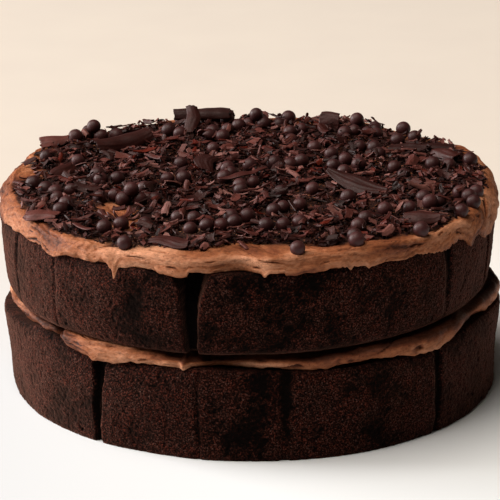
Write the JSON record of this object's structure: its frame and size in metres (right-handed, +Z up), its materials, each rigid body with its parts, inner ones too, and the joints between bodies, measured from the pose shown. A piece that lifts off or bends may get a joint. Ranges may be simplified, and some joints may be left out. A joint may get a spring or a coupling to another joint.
{
  "type": "layer cake",
  "caption": "Round two-layer chocolate cake with bare sponge sides, a buttercream filling, and buttercream on top strewn with chocolate pearls and shavings.",
  "frame": {"origin": "middle of the cake's base, on the surface it stands on", "axes": "+Z up through the layers, -Y towards the front that the picture shows, +X to the right as seen from the front"},
  "size_m": [0.206, 0.202, 0.0935],
  "materials": {
    "sponge": "open, crumbly and dry, very dark brown",
    "buttercream": "soft satin, milk-chocolate brown",
    "dark_chocolate": "satin, dark brown"
  },
  "bodies": {
    "root": {"sponge_lower": "sponge", "filling": "buttercream", "sponge_upper": "sponge", "frosting": "buttercream", "shaving_back_bar": "dark_chocolate", "shaving_back_post": "dark_chocolate", "shaving_back_curl": "dark_chocolate", "shaving_left_curl": "dark_chocolate", "shaving_left_rim": "dark_chocolate", "shaving_left_plate": "dark_chocolate", "shaving_right_leaf": "dark_chocolate", "shaving_right_bar": "dark_chocolate", "shaving_right_scroll": "dark_chocolate", "shaving_middle_leaf": "dark_chocolate", "shaving_middle_plate": "dark_chocolate", "shaving_front_plate": "dark_chocolate", "shaving_front_left": "dark_chocolate", "shaving_rim_left": "dark_chocolate", "shaving_front_right": "dark_chocolate"}
  },
  "joints": []
}
